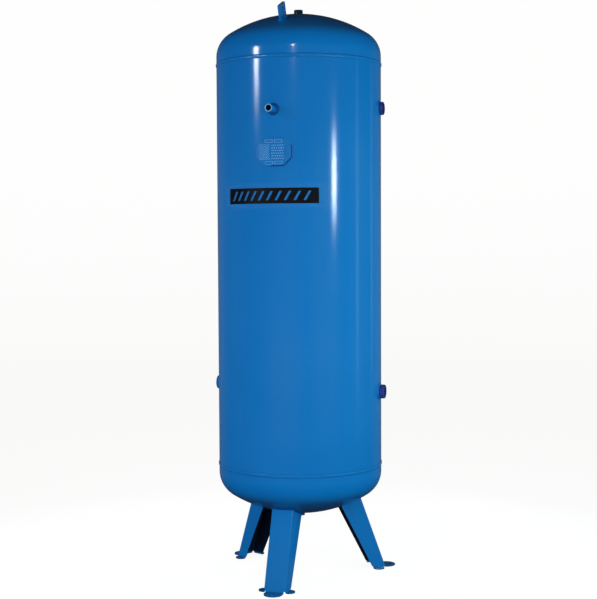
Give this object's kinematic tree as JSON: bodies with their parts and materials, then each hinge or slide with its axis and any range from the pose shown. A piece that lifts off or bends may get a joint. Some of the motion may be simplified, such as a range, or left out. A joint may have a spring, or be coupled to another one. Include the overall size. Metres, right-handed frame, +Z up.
{
  "type": "air receiver tank",
  "caption": "Vertical welded air receiver with dished heads, three channel legs, screwed sockets, a gauge nipple, a drain socket, a lifting lug and a data plate.",
  "frame": {"origin": "on the vessel's axis at floor level, the centre of the anchor bolt circle", "axes": "+Z up along the vessel's axis, -Y towards the front leg, gauge nipple, data plate and label, +X to the right"},
  "size_m": [0.646, 0.6684, 2.0691],
  "materials": {
    "paint": "glossy blue powder coat on steel, with orange peel",
    "plate_paint": "blue painted embossed plate",
    "rivets": "painted over rivet heads",
    "clear_film": "clear self-adhesive film",
    "printed_band": "black printed vinyl"
  },
  "bodies": {
    "root": {"shell": "paint", "top_head": "paint", "bottom_head": "paint", "upper_seam_weld": "paint", "lower_seam_weld": "paint", "long_seam_weld": "paint", "front_leg": "paint", "right_leg": "paint", "left_leg": "paint", "front_leg_weld": "paint", "right_leg_weld": "paint", "left_leg_weld": "paint", "lifting_lug": "paint", "lug_weld": "paint", "relief_socket": "paint", "relief_socket_weld": "paint", "gauge_nipple": "paint", "gauge_nipple_weld": "paint", "upper_right_socket": "paint", "upper_right_socket_weld": "paint", "lower_right_socket": "paint", "lower_right_socket_weld": "paint", "lower_left_socket": "paint", "lower_left_socket_weld": "paint", "drain_socket": "paint", "drain_socket_weld": "paint", "data_plate": "plate_paint", "plate_rivets": "rivets", "label_film": "clear_film", "label_band": "printed_band"}
  },
  "joints": []
}
